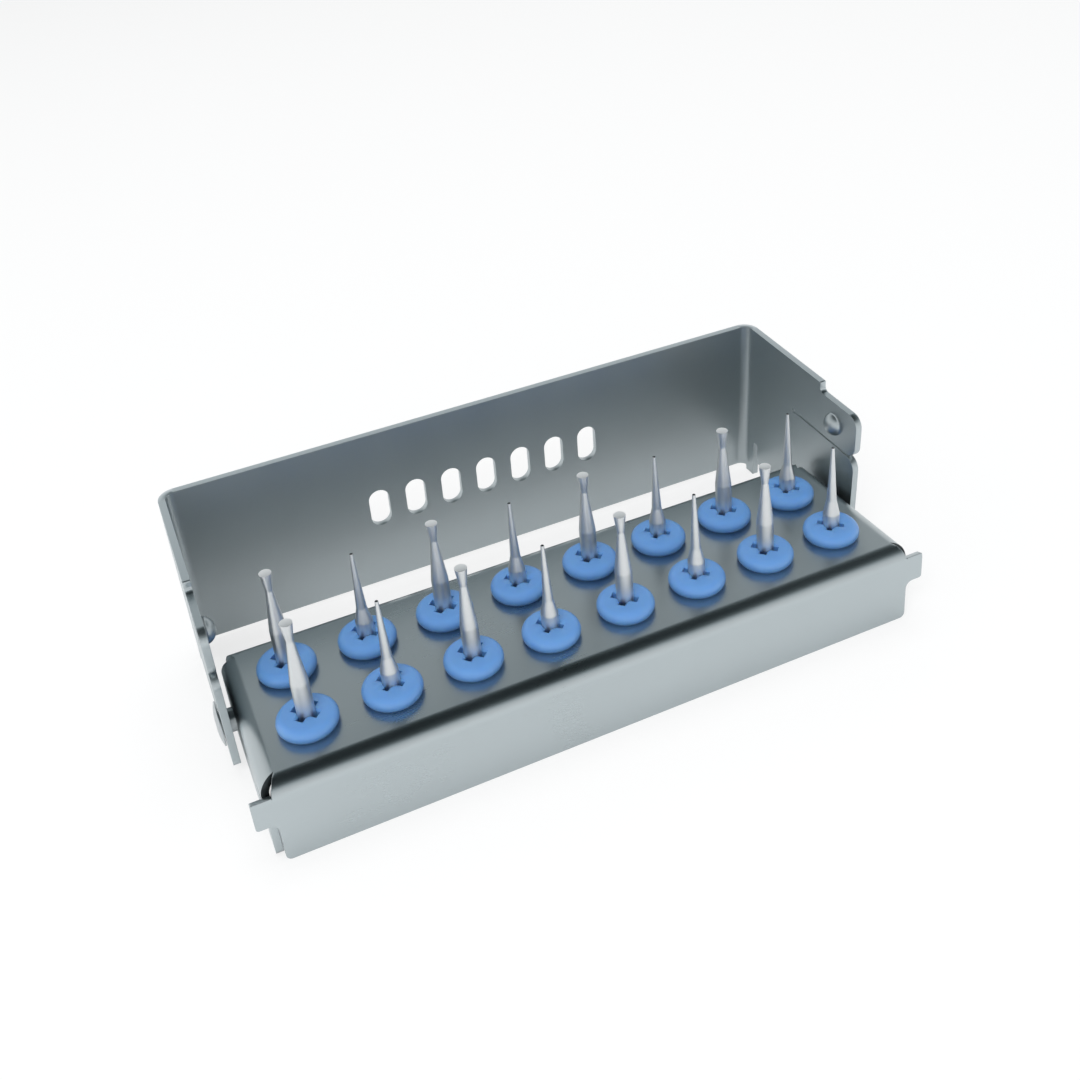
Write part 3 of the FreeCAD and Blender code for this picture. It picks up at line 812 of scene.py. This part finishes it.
def makeBurs(s):
    # Flared heads get a painted highlight on their tops, and needles get painted shade on their
    # tips.
    steels = {"flared": (burSteel, paintedHighlightSteel), "needle": (burSteel, paintedShadeSteel)}
    for row, column in stations:
        node = f"{row}_bur_{column}"
        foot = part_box(node)[0].z / mm
        kind = kindAt(column)
        bm = turnProfile(s["latch"] + s[kind], s["steps"])
        for face in bm.faces:
            atTop = face.calc_center_median().z > s["paintedEndsAbove"][kind]
            face.material_index = 1 if atTop else 0
        ring = middleOf(f"{row}_grommet_{column}")
        place = Matrix.Translation((ring.x, ring.y, foot))
        piece = addPiece(
            bm, f"{row}Bur{column}", place, steels[kind], "base", node,
            s["smoothAngle"],
        )
        squareNormals(piece, True)


makeBurs(bur)
print("burs standing")


# Floor, light and camera

studio = {
    "white": (1, 1, 1, 1),
    "floorHalf": 6.0,  # metres
    "floorColour": (0.93, 0.93, 0.93),
    "floorRoughness": 0.9,
    "floorWhite": 0.7,  # how much of the floor is plain white, without shadow, to the camera
    "floorGlint": 0.1,  # the same in the steel
    "patchAxis": (0.12, -0.05, 1.0),  # the dark overhead patch leans a little right and forwards
    "skyBands": [  # (how directly a direction meets the patch, colour)
        (0.0, (1.0, 1.0, 1.0)),
        (0.17, (0.97, 0.97, 0.97)),
        (0.42, (0.85, 0.86, 0.86)),
        (0.56, (0.68, 0.71, 0.72)),
        (0.645, (0.5, 0.545, 0.56)),
        (0.71, (0.2, 0.24, 0.25)),
        (0.79, (0.06, 0.08, 0.085)),
        (0.88, (0.02, 0.028, 0.031)),
        (1.0, (0.015, 0.021, 0.023)),
    ],
    "lamps": [  # (name, place, size, watts), in metres
        ("key lamp", (-0.35, -0.55, 0.75), 0.6, 5.2),
        ("top lamp", (0.1, 0.1, 1.0), 1.0, 4.6),
    ],
}


def mixShaders(tree, factor, first, second, output):
    mix = addNode(tree, "ShaderNodeMixShader", {0: factor, 1: first, 2: second})
    tree.links.new(mix.outputs[0], tree.nodes[output].inputs[0])


def makeFloor(s):
    bm = bmesh.new()
    bmesh.ops.create_grid(bm, x_segments=1, y_segments=1, size=s["floorHalf"])
    floor = addLoose("floor", bm)
    material, tree, shader = newMaterial("pale floor")
    shader.inputs["Base Color"].default_value = (*s["floorColour"], 1)
    shader.inputs["Roughness"].default_value = s["floorRoughness"]
    shader.inputs["Specular IOR Level"].default_value = 0.0
    # seen straight or in the steel it is mostly plain white, with a part of its shadow left
    ray = addNode(tree, "ShaderNodeLightPath")
    seen = addNode(tree, "ShaderNodeMath", {
        0: ray.outputs["Is Camera Ray"], 1: s["floorWhite"],
    }, operation="MULTIPLY")
    glint = addNode(tree, "ShaderNodeMath", {
        0: ray.outputs["Is Glossy Ray"], 1: s["floorGlint"],
    }, operation="MULTIPLY")
    share = addNode(tree, "ShaderNodeMath", {
        0: seen.outputs[0], 1: glint.outputs[0],
    }, operation="ADD")
    white = addNode(tree, "ShaderNodeEmission", {"Color": s["white"], "Strength": 1.0})
    mixShaders(tree, share.outputs[0], shader.outputs[0], white.outputs[0], "Material Output")
    floor.data.materials.append(material)


def makeSky(s):
    # Bright all round and dark overhead, with plain white behind the scene.
    world = bpy.data.worlds.new("studio")
    scene.world = world
    world.use_nodes = True
    tree = world.node_tree
    back = tree.nodes["Background"]
    ray = addNode(tree, "ShaderNodeLightPath")
    facing = addNode(tree, "ShaderNodeVectorMath", {
        0: addNode(tree, "ShaderNodeTexCoord").outputs["Generated"],
        1: Vector(s["patchAxis"]).normalized(),
    }, operation="DOT_PRODUCT")
    ramp = addNode(tree, "ShaderNodeValToRGB", {"Fac": facing.outputs["Value"]})
    stops = ramp.color_ramp.elements
    for index, (place, colour) in enumerate(s["skyBands"]):
        stop = stops[index] if index < 2 else stops.new(place)
        stop.position = place
        stop.color = (*colour, 1)
    tree.links.new(ramp.outputs["Color"], back.inputs["Color"])
    white = addNode(tree, "ShaderNodeBackground", {"Color": s["white"], "Strength": 1.0})
    toCamera = ray.outputs["Is Camera Ray"]
    mixShaders(tree, toCamera, back.outputs[0], white.outputs[0], "World Output")


def makeLamps(s):
    for name, place, size, watts in s["lamps"]:
        light = bpy.data.lights.new(name, "AREA")
        light.shape = "DISK"
        light.size = size
        light.energy = watts
        lamp = bpy.data.objects.new(name, light)
        lamp.location = place
        lamp.rotation_euler = Vector(place).to_track_quat("Z", "Y").to_euler()
        lamp.visible_glossy = False
        scene.collection.objects.link(lamp)


cameraView = {
    "lens": 41.2525,
    "shift": -0.15926,
    "clip": (0.01, 50),
    "place": (-50.08, -125.68, 118.69),  # from the middle of the hole grid, in millimetres
    "turn": (62.2167, 5.0247, -23.8621),  # degrees about X, Y and Z
}


def makeCamera(s):
    data = bpy.data.cameras.new("camera")
    data.lens = s["lens"]
    data.shift_y = s["shift"]
    data.clip_start, data.clip_end = s["clip"]
    camera = bpy.data.objects.new("camera", data)
    turn = Euler([math.radians(angle) for angle in s["turn"]]).to_matrix()
    spot = (Vector(s["place"]) + Vector((0, gridMiddle, 0))) * mm
    camera.matrix_world = Matrix.Translation(spot) @ turn.to_4x4()
    scene.collection.objects.link(camera)
    scene.camera = camera


makeFloor(studio)
makeSky(studio)
makeLamps(studio)
makeCamera(cameraView)
scene.view_settings.view_transform = "Standard"
print("studio lit")
